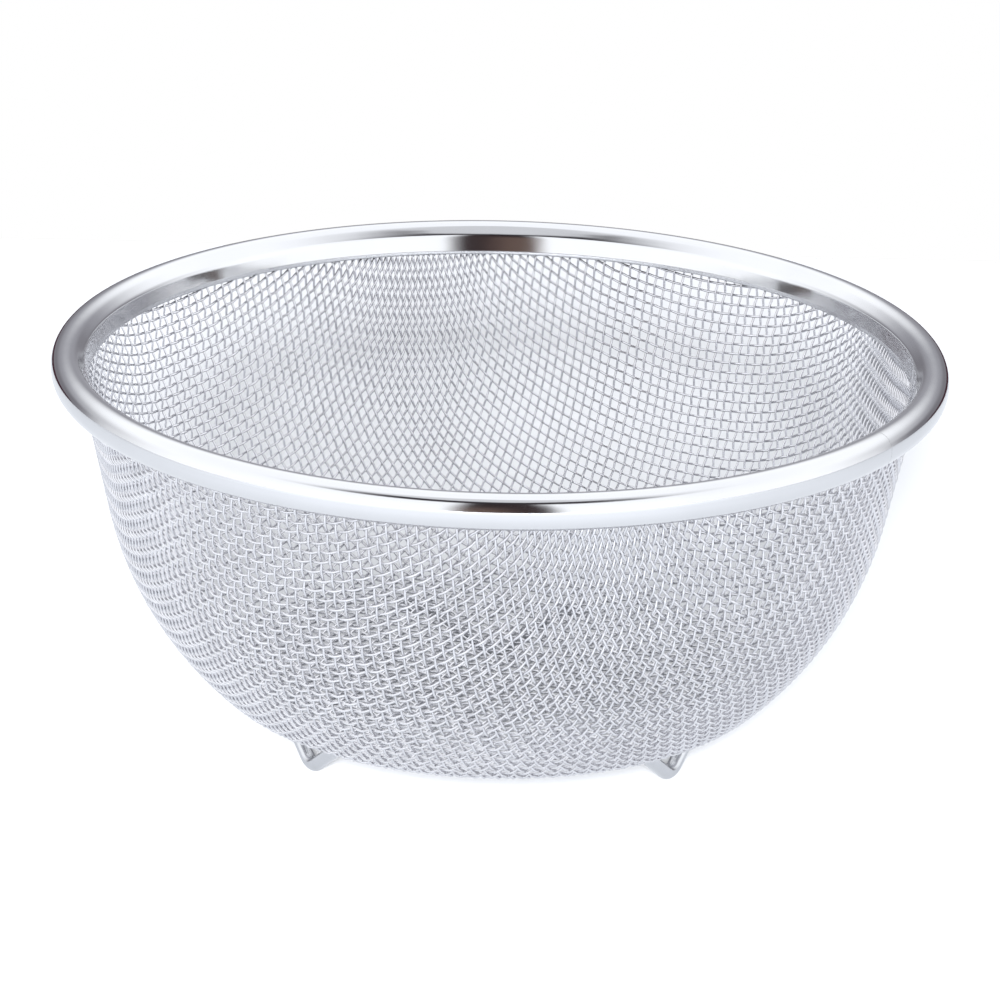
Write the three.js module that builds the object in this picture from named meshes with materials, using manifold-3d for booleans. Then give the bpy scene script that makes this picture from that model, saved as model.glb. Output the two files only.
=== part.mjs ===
// Round wire-mesh colander: a bowl of woven stainless wire, drawn in one piece, whose edge
// is gripped by a strip of sheet rolled into a hollow rim bead, on three bent-rod feet.
// Millimetres, +Z up. The origin is on the table, under the middle of the bowl.
// The photographed front of the colander faces -Y.

import * as THREE from "three";
import Module from "manifold-3d";
import { mergeVertices } from "three/addons/utils/BufferGeometryUtils.js";

const wasm = await Module();
wasm.setup();

// Rim: a strip rolled into a bead, with an inner flange and a curled outer lip
const rimOuterRadius = 105;
const beadWidth = 7.3;
const beadHeight = 8.2;
const stripThickness = 0.5;
const flangeDepth = 3.1; // the flange's lower edge, below the bead's centre
const flangeTopHeight = 1.2; // where the flange turns out to the bead, above the bead's centre
const rimSegments = 60;
const beadArcSteps = 6; // facets over the bead's top, and as many round under it to the lip
const seamAzimuthDegrees = -27.5; // the strip's ends meet at the front right
const seamGap = 0.3;

// Bowl: the middle surface of the cloth, from its top edge down to the pole
const poleHeight = 12.46; // on the axis, above the table
const clothEdgeDepth = 0.9; // the cloth's top edge, below the bead's centre, inside the rim
const clothEdgeInset = 6.8; // the cloth's top edge, inside the rim's outer radius
const coneAngleDegrees = 11.6; // the wall's lean from the vertical
const coneLength = 32.7; // along the wall
const wallArcRadius = 81.4;
const wallArcEndDegrees = 47; // the lean where the wall turns into the corner
const cornerRadius = 9.5;
const baseArcDegrees = 7; // the base's slope where the corner ends

// Cloth: plain weave. The real cloth has a wire every 2.45 mm, and this one has one in six
const wirePitch = 14.7;
const wireSize = 0.8; // width and thickness of a wire
const clothTurnDegrees = 57.5; // how far the cloth's wires are turned about the axis
const clothClearance = 0.3; // between the cloth and what grips it or stands under it

// Feet: each one rod bent to a wide V with a round bottom, its two ends turned out to lie
// under the base. The V stands across the radius, along the base's edge.
const footCount = 3;
const firstFootAzimuthDegrees = -30;
const footRadius = 48.9; // from the bowl's axis to the rod's middle
const footRodDiameter = 3.4;
const footBendRadius = 4.5; // of the rod's centre line
const footArmLeanDegrees = 53; // of the two arms from the vertical
const footTurnLength = 2.2; // along arm and end, over which the one turns into the other
const footEndLength = 6;
const footFlat = 0.15; // ground off the rod where it stands
const footSides = 8;
const bendSteps = 6;
const turnSteps = 3;

const cutOverrun = 1; // how far every cut runs past what it cuts

// Colours
const rimColour = 0xd4d6da;
const clothColour = 0xc4c7cd;
const footColour = 0xb9bcc2;

const radians = THREE.MathUtils.degToRad;

// The solid of a closed geometry
function solidOf(geometry) {
  const plain = geometry.clone();
  plain.deleteAttribute("normal");
  plain.deleteAttribute("uv");
  const merged = mergeVertices(plain);
  return new wasm.Manifold(
    new wasm.Mesh({
      numProp: 3,
      vertProperties: merged.attributes.position.array,
      triVerts: new Uint32Array(merged.index.array),
    }),
  );
}

function geometryOf(solid) {
  const mesh = solid.getMesh();
  const geometry = new THREE.BufferGeometry();
  geometry.setAttribute("position", new THREE.BufferAttribute(mesh.vertProperties, 3));
  geometry.setIndex(new THREE.BufferAttribute(mesh.triVerts, 1));
  const flat = geometry.toNonIndexed();
  flat.computeVertexNormals();
  return flat;
}

function steel(colour, roughness) {
  return new THREE.MeshStandardMaterial({ color: colour, metalness: 1, roughness });
}

function named(name, geometry, material) {
  const mesh = new THREE.Mesh(geometry, material);
  mesh.name = name;
  return mesh;
}

// The bowl's profile: a straight wall, two arcs and a shallow base centred on the axis.
// Each stretch knows its length and gives the point and the lean at a distance along it.
function lineStretch(start, lean, length) {
  const down = new THREE.Vector2(-Math.sin(lean), -Math.cos(lean));
  return {
    length,
    at: (distance) => ({ point: start.clone().addScaledVector(down, distance), lean }),
  };
}

function arcStretch(start, fromLean, toLean, radius) {
  const inward = (lean) => new THREE.Vector2(-Math.cos(lean), Math.sin(lean));
  const centre = start.clone().addScaledVector(inward(fromLean), radius);
  return {
    length: radius * (toLean - fromLean),
    at: (distance) => {
      const lean = fromLean + distance / radius;
      return { point: centre.clone().addScaledVector(inward(lean), -radius), lean };
    },
  };
}

const coneTopRadius = rimOuterRadius - clothEdgeInset;

function bowlStretches(edgeHeight) {
  const cone = lineStretch(
    new THREE.Vector2(coneTopRadius, edgeHeight),
    radians(coneAngleDegrees),
    coneLength,
  );
  const wall = arcStretch(
    cone.at(cone.length).point,
    radians(coneAngleDegrees),
    radians(wallArcEndDegrees),
    wallArcRadius,
  );
  const corner = arcStretch(
    wall.at(wall.length).point,
    radians(wallArcEndDegrees),
    Math.PI / 2 - radians(baseArcDegrees),
    cornerRadius,
  );
  const cornerEnd = corner.at(corner.length).point;
  const base = arcStretch(
    cornerEnd,
    Math.PI / 2 - radians(baseArcDegrees),
    Math.PI / 2,
    cornerEnd.x / Math.sin(radians(baseArcDegrees)),
  );
  return [cone, wall, corner, base];
}

const baseFromEdge = bowlStretches(0).at(-1);
const bowlDepth = -baseFromEdge.at(baseFromEdge.length).point.y;
const clothEdgeHeight = poleHeight + bowlDepth;
const beadCentreHeight = clothEdgeHeight + clothEdgeDepth;
const stretches = bowlStretches(clothEdgeHeight);
const wallLength = stretches.reduce((sum, stretch) => sum + stretch.length, 0);

// The point and lean at a distance from the pole, along the profile. Past the top edge the
// straight wall goes on, so that the cloth can be made too big and then trimmed.
function profileAt(distanceFromPole) {
  let left = wallLength - distanceFromPole;
  for (const stretch of stretches.slice(0, -1)) {
    if (left <= stretch.length) return stretch.at(left);
    left -= stretch.length;
  }
  const base = stretches.at(-1);
  return base.at(Math.min(left, base.length));
}

// The profile's point at a radius, on the base or the corner
function undersideAt(radius) {
  let low = 0;
  let high = wallLength;
  for (let step = 0; step < 40; step += 1) {
    const middle = (low + high) / 2;
    if (profileAt(middle).point.x < radius) low = middle;
    else high = middle;
  }
  return profileAt(low);
}

// A place on the bowl, from flat coordinates: the direction and the distance from the pole
function placeOnBowl(flat) {
  const azimuth = Math.atan2(flat.y, flat.x);
  const { point, lean } = profileAt(flat.length());
  const outward = new THREE.Vector3(Math.cos(azimuth), Math.sin(azimuth), 0);
  const position = outward.clone().multiplyScalar(point.x).setZ(point.y);
  const inward = outward.multiplyScalar(-Math.cos(lean)).setZ(Math.sin(lean));
  return { flat, position, inward };
}

// The crossing that lies one pitch from each of two neighbours, found by Newton's method
function nextCrossing(first, second, behind) {
  const probe = wirePitch / 1000;
  let flat = first.flat.clone().add(second.flat).sub(behind.flat);
  const misses = (at) => {
    const { position } = placeOnBowl(at);
    return [
      position.distanceTo(first.position) - wirePitch,
      position.distanceTo(second.position) - wirePitch,
    ];
  };
  for (let step = 0; step < 12; step += 1) {
    const [a, b] = misses(flat);
    const [ax, bx] = misses(new THREE.Vector2(flat.x + probe, flat.y));
    const [ay, by] = misses(new THREE.Vector2(flat.x, flat.y + probe));
    const rows = [(ax - a) / probe, (ay - a) / probe, (bx - b) / probe, (by - b) / probe];
    const determinant = rows[0] * rows[3] - rows[1] * rows[2];
    flat = new THREE.Vector2(
      flat.x - (a * rows[3] - b * rows[1]) / determinant,
      flat.y - (b * rows[0] - a * rows[2]) / determinant,
    );
  }
  return placeOnBowl(flat);
}

// All the cloth's crossings, keyed by their two wire numbers. Two wires cross at the pole
// and run up the wall by themselves; every other crossing follows from its neighbours.
function clothCrossings() {
  const crossings = new Map();
  const key = (i, j) => i + "," + j;
  const reach = wallLength + wirePitch;
  const steps = Math.ceil(reach / wirePitch);
  const turn = radians(clothTurnDegrees);
  const along = (distance, azimuth) =>
    placeOnBowl(new THREE.Vector2(distance * Math.cos(azimuth), distance * Math.sin(azimuth)));

  crossings.set(key(0, 0), along(0, 0));
  for (let quarter = 0; quarter < 4; quarter += 1) {
    const azimuth = turn + (quarter * Math.PI) / 2;
    const i = Math.round(Math.cos((quarter * Math.PI) / 2));
    const j = Math.round(Math.sin((quarter * Math.PI) / 2));
    for (let n = 1; n <= steps; n += 1) {
      const distance = n * wirePitch;
      if (distance < reach) crossings.set(key(n * i, n * j), along(distance, azimuth));
    }
  }
  for (const [signI, signJ] of [[1, 1], [-1, 1], [-1, -1], [1, -1]]) {
    for (let i = 1; i <= steps; i += 1) {
      for (let j = 1; j <= steps; j += 1) {
        const first = crossings.get(key(signI * i, signJ * (j - 1)));
        const second = crossings.get(key(signI * (i - 1), signJ * j));
        const behind = crossings.get(key(signI * (i - 1), signJ * (j - 1)));
        if (!first || !second || !behind) continue;
        const found = nextCrossing(first, second, behind);
        if (found.flat.length() < reach) crossings.set(key(signI * i, signJ * j), found);
      }
    }
  }
  return { crossings, key, steps };
}

// The woven cloth as one closed surface. At each crossing the two square wires share the
// diamond where one lies on the other, and they change sides at the next crossing.
function clothGeometry() {
  const { crossings, key, steps } = clothCrossings();
  const positions = [];
  const triangles = [];
  const blocks = new Map();

  const quad = (a, b, c, d) => triangles.push(a, b, c, a, c, d);
  const cell = (i, j) => crossings.get(key(i, j));

  // Direction of a wire at a crossing, in the bowl's surface
  const direction = (i, j, stepI, stepJ) => {
    const here = cell(i, j);
    const ahead = cell(i + stepI, j + stepJ) ?? here;
    const before = cell(i - stepI, j - stepJ) ?? here;
    const way = ahead.position.clone().sub(before.position);
    return way.addScaledVector(here.inward, -way.dot(here.inward)).normalize();
  };

  // Corners of a crossing's diamond on three levels: outer, shared and inner
  for (let i = -steps; i <= steps; i += 1) {
    for (let j = -steps; j <= steps; j += 1) {
      const here = cell(i, j);
      const lone = here
        && [[1, 0], [-1, 0], [0, 1], [0, -1]].filter(([a, b]) => cell(i + a, j + b)).length < 2;
      if (!here || lone) continue;
      const u = direction(i, j, 1, 0);
      const v = direction(i, j, 0, 1);
      const sine = u.clone().cross(v).length();
      const half = wireSize / (2 * sine);
      const levels = [-wireSize, 0, wireSize].map((level) =>
        [[-1, -1], [1, -1], [1, 1], [-1, 1]].map(([a, b]) => {
          const corner = here.position
            .clone()
            .addScaledVector(u, a * half)
            .addScaledVector(v, b * half)
            .addScaledVector(here.inward, level);
          positions.push(corner.x, corner.y, corner.z);
          return positions.length / 3 - 1;
        }),
      );
      blocks.set(key(i, j), levels);
    }
  }

  for (let i = -steps; i <= steps; i += 1) {
    for (let j = -steps; j <= steps; j += 1) {
      const levels = blocks.get(key(i, j));
      if (!levels) continue;
      const [outer, shared, inner] = levels;
      const firstInside = (i + j) % 2 === 0;
      quad(...inner);
      quad(outer[3], outer[2], outer[1], outer[0]);
      // Long sides of the wire along i, then of the wire along j
      const [lowI, highI] = firstInside ? [shared, inner] : [outer, shared];
      const [lowJ, highJ] = firstInside ? [outer, shared] : [shared, inner];
      quad(lowI[0], lowI[1], highI[1], highI[0]);
      quad(lowI[2], lowI[3], highI[3], highI[2]);
      quad(lowJ[1], lowJ[2], highJ[2], highJ[1]);
      quad(lowJ[3], lowJ[0], highJ[0], highJ[3]);

      // The stretch of each wire to its next crossing, or its cut end
      const nextI = blocks.get(key(i + 1, j));
      if (nextI) {
        const [low, high] = firstInside ? [nextI[0], nextI[1]] : [nextI[1], nextI[2]];
        quad(highI[1], high[0], high[3], highI[2]);
        quad(lowI[2], low[3], low[0], lowI[1]);
        quad(lowI[1], low[0], high[0], highI[1]);
        quad(highI[2], high[3], low[3], lowI[2]);
      } else quad(lowI[1], lowI[2], highI[2], highI[1]);
      if (!blocks.has(key(i - 1, j))) quad(lowI[3], lowI[0], highI[0], highI[3]);

      const nextJ = blocks.get(key(i, j + 1));
      if (nextJ) {
        const [low, high] = firstInside ? [nextJ[1], nextJ[2]] : [nextJ[0], nextJ[1]];
        quad(highJ[2], high[1], high[0], highJ[3]);
        quad(lowJ[3], low[0], low[1], lowJ[2]);
        quad(lowJ[2], low[1], high[1], highJ[2]);
        quad(highJ[3], high[0], low[0], lowJ[3]);
      } else quad(lowJ[2], lowJ[3], highJ[3], highJ[2]);
      if (!blocks.has(key(i, j - 1))) quad(lowJ[0], lowJ[1], highJ[1], highJ[0]);
    }
  }

  const geometry = new THREE.BufferGeometry();
  geometry.setAttribute("position", new THREE.Float32BufferAttribute(positions, 3));
  geometry.setIndex(triangles);
  return geometry;
}

// The cloth, cut off level at its top edge, without the snippets that the cut leaves loose
function trimmedCloth() {
  const radius = rimOuterRadius + cutOverrun;
  const keep = new THREE.CylinderGeometry(radius, radius, clothEdgeHeight, rimSegments);
  keep.rotateX(Math.PI / 2).translate(0, 0, clothEdgeHeight / 2);
  const pieces = solidOf(clothGeometry()).intersect(solidOf(keep)).decompose();
  return pieces.reduce((most, piece) => (piece.volume() > most.volume() ? piece : most));
}

// Rim section
const stripHalf = stripThickness / 2;
const coneSlope = Math.tan(radians(coneAngleDegrees));
const coneCosine = Math.cos(radians(coneAngleDegrees));
const wireSag = wirePitch ** 2 / (8 * coneTopRadius); // a straight wire inside the round wall
const rimSag = rimOuterRadius * (1 - Math.cos(Math.PI / rimSegments)); // of the rim's facets

function clothRadiusAt(height) {
  return coneTopRadius + (height - clothEdgeHeight) * coneSlope;
}

// The strip's centre line: up the flange inside the cloth, out over the cloth's edge, round
// the bead and in under it to the lip, which presses on the outside of the cloth
function rimCentreLine() {
  const bendRadius = beadWidth / 2 - stripHalf;
  const middle = rimOuterRadius - beadWidth / 2;
  const rise = (beadHeight - beadWidth) / 2;
  const flangeAt = (height) => {
    const standOff = (wireSize + clothClearance + stripHalf) / coneCosine;
    return new THREE.Vector2(clothRadiusAt(height) - standOff - wireSag, height);
  };

  // The lip stops short of the cloth
  const lipCentre = beadCentreHeight - rise;
  const lipReach = bendRadius + stripHalf;
  let lipAngle = Math.PI / 2;
  for (let step = 0; step < 8; step += 1) {
    const height = lipCentre - lipReach * Math.sin(lipAngle);
    const standOff = (wireSize + clothClearance) / coneCosine;
    const reach = middle - rimSag - clothRadiusAt(height) - standOff;
    lipAngle = Math.PI - Math.acos(THREE.MathUtils.clamp(reach / lipReach, -1, 1));
  }

  // From the flange's top the strip runs straight up to touch the bead's round top
  const flangeTop = flangeAt(beadCentreHeight + flangeTopHeight);
  const topCentre = new THREE.Vector2(middle, beadCentreHeight + rise);
  const across = topCentre.clone().sub(flangeTop);
  const touchAngle = Math.PI / 2
    + Math.atan2(across.y, across.x)
    + Math.asin(Math.min(1, bendRadius / across.length()));

  const line = [flangeAt(beadCentreHeight - flangeDepth), flangeTop];
  for (let step = 0; step <= beadArcSteps; step += 1) {
    const angle = touchAngle * (1 - step / beadArcSteps);
    line.push(new THREE.Vector2(
      topCentre.x + bendRadius * Math.cos(angle),
      topCentre.y + bendRadius * Math.sin(angle),
    ));
  }
  for (let step = 0; step <= beadArcSteps; step += 1) {
    const angle = -lipAngle * (step / beadArcSteps);
    line.push(new THREE.Vector2(
      middle + bendRadius * Math.cos(angle),
      lipCentre + bendRadius * Math.sin(angle),
    ));
  }
  return line;
}

// The closed outline of a strip of sheet that follows a centre line
function stripOutline(line) {
  const normals = line.map((point, n) => {
    const before = line[n - 1] ?? point;
    const after = line[n + 1] ?? point;
    const wayIn = point.clone().sub(before).normalize();
    const wayOut = after.clone().sub(point).normalize();
    const way = wayIn.clone().add(wayOut).normalize();
    const mitre = Math.max(way.dot(wayOut), way.dot(wayIn));
    return new THREE.Vector2(-way.y, way.x).multiplyScalar(stripHalf / mitre);
  });
  const left = line.map((point, n) => point.clone().add(normals[n]));
  const right = line.map((point, n) => point.clone().sub(normals[n]));
  return [...right, ...left.reverse(), right[0].clone()];
}

function rimGeometry() {
  const ring = new THREE.LatheGeometry(stripOutline(rimCentreLine()), rimSegments);
  ring.rotateX(Math.PI / 2);
  const size = rimOuterRadius + cutOverrun;
  const slit = new THREE.BoxGeometry(size, seamGap, beadHeight * 2);
  slit.translate(size / 2, 0, beadCentreHeight).rotateZ(radians(seamAzimuthDegrees));
  return geometryOf(solidOf(ring).subtract(solidOf(slit)));
}

// A curve through the bends of a rod, with one step from each point to the next
class RodLine extends THREE.Curve {
  constructor(points) {
    super();
    this.points = points;
  }

  getPoint(share) {
    const place = share * (this.points.length - 1);
    const before = Math.min(Math.floor(place), this.points.length - 2);
    return this.points[before].clone().lerp(this.points[before + 1], place - before);
  }

  getPointAt(share) {
    return this.getPoint(share);
  }

  getTangentAt(share) {
    return this.getTangent(share);
  }
}

// A foot, standing on the table across +X. Its line is drawn from its middle, sideways and up.
function footGeometry() {
  const rodRadius = footRodDiameter / 2;
  const standOff = wireSize + clothClearance + rodRadius;
  const armLean = radians(footArmLeanDegrees);
  const bendCentre = new THREE.Vector2(0, rodRadius + footBendRadius - footFlat);
  const onBend = (angle) =>
    bendCentre.clone().addScaledVector({ x: Math.cos(angle), y: Math.sin(angle) }, footBendRadius);
  const underBase = (sideways) => {
    const { point, lean } = undersideAt(Math.hypot(footRadius, sideways));
    return new THREE.Vector2(sideways, point.y - standOff / Math.sin(lean));
  };

  // One half: from the bend up its arm and round the turn to the end under the base
  const half = (side) => {
    const armFoot = onBend(side > 0 ? -armLean : Math.PI + armLean);
    const armWay = new THREE.Vector2(side * Math.sin(armLean), Math.cos(armLean));
    let corner = armFoot;
    for (let step = 0; step < 12; step += 1) {
      corner = underBase(armFoot.x + side * (corner.y - armFoot.y) * Math.tan(armLean));
    }
    const turnStart = corner.clone().addScaledVector(armWay, -footTurnLength);
    const turnEnd = underBase(corner.x + side * footTurnLength);
    const turn = new THREE.QuadraticBezierCurve(turnStart, corner, turnEnd).getPoints(turnSteps);
    return [...turn, underBase(corner.x + side * (footTurnLength + footEndLength))];
  };

  const points = half(-1).reverse();
  for (let step = 0; step <= bendSteps; step += 1) {
    const share = step / bendSteps;
    points.push(onBend(Math.PI + armLean + share * (Math.PI - 2 * armLean)));
  }
  points.push(...half(1));

  const path = new RodLine(points.map(({ x, y }) => new THREE.Vector3(footRadius, x, y)));
  const section = new THREE.Shape();
  section.absarc(0, 0, rodRadius, 0, Math.PI * 2);
  const rod = new THREE.ExtrudeGeometry(section, {
    steps: points.length - 1,
    curveSegments: footSides / 2,
    extrudePath: path,
  });
  const ground = new THREE.BoxGeometry(rimOuterRadius, rimOuterRadius, footRodDiameter);
  ground.translate(footRadius, 0, -footRodDiameter / 2);
  return geometryOf(solidOf(rod).subtract(solidOf(ground)));
}

const colander = new THREE.Group();
colander.add(named("rim", rimGeometry(), steel(rimColour, 0.18)));
colander.add(named("mesh_bowl", geometryOf(trimmedCloth()), steel(clothColour, 0.35)));

const foot = footGeometry();
for (let n = 0; n < footCount; n += 1) {
  const mesh = named("foot_" + (n + 1), foot, steel(footColour, 0.25));
  mesh.rotation.z = radians(firstFootAzimuthDegrees) + (n * 2 * Math.PI) / footCount;
  colander.add(mesh);
}

export default colander;
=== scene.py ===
"""Round wire-mesh colander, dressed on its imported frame.

Metres, +Z up. The colander stands on the table under the origin and its photographed
front faces -Y.
"""

import math

import bpy
import numpy as np
from bpy.props import FloatProperty, FloatVectorProperty, IntProperty, PointerProperty
from mathutils import Matrix, Vector


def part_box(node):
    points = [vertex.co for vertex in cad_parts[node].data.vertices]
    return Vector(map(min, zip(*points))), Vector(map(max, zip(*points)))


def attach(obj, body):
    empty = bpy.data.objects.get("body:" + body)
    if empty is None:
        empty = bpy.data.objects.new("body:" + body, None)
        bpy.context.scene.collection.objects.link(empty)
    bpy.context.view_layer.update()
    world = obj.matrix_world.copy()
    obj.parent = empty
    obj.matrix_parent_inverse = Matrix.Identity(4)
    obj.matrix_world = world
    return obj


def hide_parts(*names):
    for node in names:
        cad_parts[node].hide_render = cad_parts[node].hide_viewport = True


bl_info = {
    "name": "Round Mesh Colander",
    "version": (1, 0, 0),
    "blender": (4, 5, 0),
    "location": "3D View > Sidebar > Colander",
    "description": "Builds a colander of woven wire, a rolled rim and bent-rod feet",
    "category": "Add Mesh",
}

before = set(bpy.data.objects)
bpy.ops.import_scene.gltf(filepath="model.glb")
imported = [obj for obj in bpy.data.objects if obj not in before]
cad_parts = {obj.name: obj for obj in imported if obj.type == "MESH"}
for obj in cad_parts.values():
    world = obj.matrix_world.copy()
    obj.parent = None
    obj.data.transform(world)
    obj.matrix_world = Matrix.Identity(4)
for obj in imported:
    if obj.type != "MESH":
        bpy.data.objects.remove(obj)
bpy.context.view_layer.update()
BODY = "root"

# Sockets of the mix node: its share and its two colours, and its mixed colour
MIX_INPUTS = (0, 6, 7)
MIX_OUTPUT = 2

# Noise values between which the steel's shade and its polish change, and the roughness at
# those two ends of the polish, in shares of the usual one
SHADE_RANGE = (0.3, 0.7)
POLISH_RANGE = (0.25, 0.75)
POLISH_SHARES = (0.8, 1.25)

# Rounds after which the crossings, the rim's lip and the feet's corners have settled
NET_ROUNDS = 8
LIP_ROUNDS = 8
CORNER_ROUNDS = 12

# Wires that the net has beyond the cloth's edge, and crossings of its shortest wire
SPARE_WIRES = 2
FEWEST_CROSSINGS = 3
# Cosine and sine of the turns that put the net's four quarters in their places
QUARTER_TURNS = ((1, 0), (0, 1), (-1, 0), (0, -1))

# Waves in which the wires wander: their lengths, how many there are of each and the seed
WAVE_LENGTHS = (0.035, 0.07, 0.15)
WAVES_EACH = 3
WAVE_SEED = 7

# Bake map of a wire, in shares of its row: its strip, and the discs of its two ends
STRIP_START = 0.05
STRIP_WIDTH = 0.85
DISC_PLACE = 0.95
DISC_RADIUS = 0.04

# Points of the rim's centre line, in shares of its straight stretches and round its bends,
# and what the rounded crease takes of the stretches before and after it
FLANGE_SHARES = (0.2, 0.4, 0.6, 0.75)
SLOPE_SHARES = (0.3, 0.65)
CREASE_SHARES = (0.12, 0.18)
CREASE_POINTS = 6
TOP_POINTS = 25
LIP_POINTS = 27
# Points of a rounded edge of the strip, with its two ends
EDGE_POINTS = 6
RIM_SEGMENTS = 514
# Length of the rim's first and its last segment, on both sides of the seam
SEAM_SEGMENT = 0.00005

# Points of the bowl's profile under which the feet lie, and how far it is followed
PROFILE_POINTS = 900
PROFILE_LENGTH = 0.09
# Points of a foot's centre line, in shares of its straight stretches and round its bends
ARM_SHARES = (0.33, 0.67)
END_SHARES = (0.5, 1.0)
TURN_POINTS = 10
BEND_POINTS = 33
# Size of each smaller ring that rounds a foot's end, and its distance in rod radii
END_RINGS = ((0.93, 0.12), (0.74, 0.2))

# Studio as the metal reflects it, in degrees. A span is an azimuth and the angles to both
# sides of it where a part has faded out and where it is whole. A fade is the elevation
# where a part is whole and the one where it has faded out.
TENT_WALL_COLOUR = (1.16, 1.18, 1.21)
TENT_TOP_COLOUR = (1.08, 1.10, 1.14)
TENT_TOP_FADE = (80, 15)
BACK_COLOUR = (0.32, 0.32, 0.35)
BACK_SPAN = (90, 100, 22)
BACK_FADE = (14, 38)
BESIDE_COLOUR = (0.19, 0.185, 0.205)
BESIDE_SPANS = ((122, 36, 12), (52, 36, 12))
BESIDE_FADE = (3, 16)
GAP_COLOUR = (0.05, 0.022, 0.03)
GAP_SPAN = (90, 50, 44)
GAP_FADE = (-5.5, -3.5)
CEILING_COLOUR = (0.70, 0.71, 0.74)
CEILING_SPAN = (-88, 110, 40)
CEILING_FADE = (62, 50)
EDGE_COLOUR = (0.04, 0.035, 0.04)
EDGE_SPAN = (-92, 80, 30)
EDGE_TOP_FADE = (68, 71)
EDGE_BOTTOM_FADE = (58, 55)
ROOM_SPAN = (-88, 16, 8)
ROOM_FADE = (58, 62)
ROOM_TOP_COLOUR = (0.03, 0.022, 0.024)
ROOM_GLOW_FADE = (5, 55)
ROOM_SIDE_COLOUR = (0.04, 0.028, 0.03)
ROOM_SIDE_SPAN = (-74, 19, 3)
WHITE = (1.0, 1.0, 1.0)
# Strength of the studio's light on the colander and as the camera sees it
STUDIO_STRENGTH = 1.35
SEEN_STRENGTH = 1.0

FLOOR_ROUGHNESS = 0.6
FLOOR_SPECULAR = 0.1
# Share of white that the camera sees added to the floor
FLOOR_GLOW = 0.17
CAMERA_REACH = 100.0
LAMP_SIZE = 0.6
LAMP_PLACE = (-0.1, -3.1, 1.3)
LAMP_AIM = (0.0, 0.0, 0.05)


class RimSettings(bpy.types.PropertyGroup):
    """Sizes and finish of the rolled rim."""

    outer_radius: FloatProperty(
        name="Outer Radius",
        description="From the bowl's axis to the outside of the bead",
        default=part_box("rim")[1].x,
        unit="LENGTH",
    )
    bead_width: FloatProperty(
        name="Bead Width",
        description="Of the hollow bead, across",
        default=0.0073,
        unit="LENGTH",
    )
    bead_height: FloatProperty(
        name="Bead Height",
        description="Of the hollow bead, from its underside to its top",
        default=0.00819,
        unit="LENGTH",
    )
    strip_thickness: FloatProperty(
        name="Strip Thickness",
        description="Of the sheet that the rim is rolled from",
        default=0.0005,
        unit="LENGTH",
    )
    flange_depth: FloatProperty(
        name="Flange Depth",
        description="From the bead's middle down to the flange's edge inside the bowl",
        default=0.0031,
        unit="LENGTH",
    )
    flange_top: FloatProperty(
        name="Flange Top",
        description="From the bead's middle up to where the flange turns out to its top",
        default=0.0012,
        unit="LENGTH",
    )
    cloth_gap: FloatProperty(
        name="Gap To Cloth",
        description="Between the strip and the middle of the cloth that it grips",
        default=0.00105,
        unit="LENGTH",
    )
    seam_azimuth: FloatProperty(
        name="Seam Azimuth",
        description="Where the strip's ends meet, from +X towards the back",
        default=math.radians(-33.7),
        subtype="ANGLE",
    )
    seam_gap: FloatProperty(
        name="Seam Gap",
        description="Between the strip's two ends",
        default=0.00004,
        unit="LENGTH",
    )
    colour: FloatVectorProperty(
        name="Colour",
        description="Of the polished strip",
        default=(0.65, 0.655, 0.668),
        size=3,
        min=0.0,
        max=1.0,
        subtype="COLOR",
    )
    roughness: FloatProperty(
        name="Roughness",
        description="Of the polished strip",
        default=0.08,
        min=0.0,
        max=1.0,
        subtype="FACTOR",
    )


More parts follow.
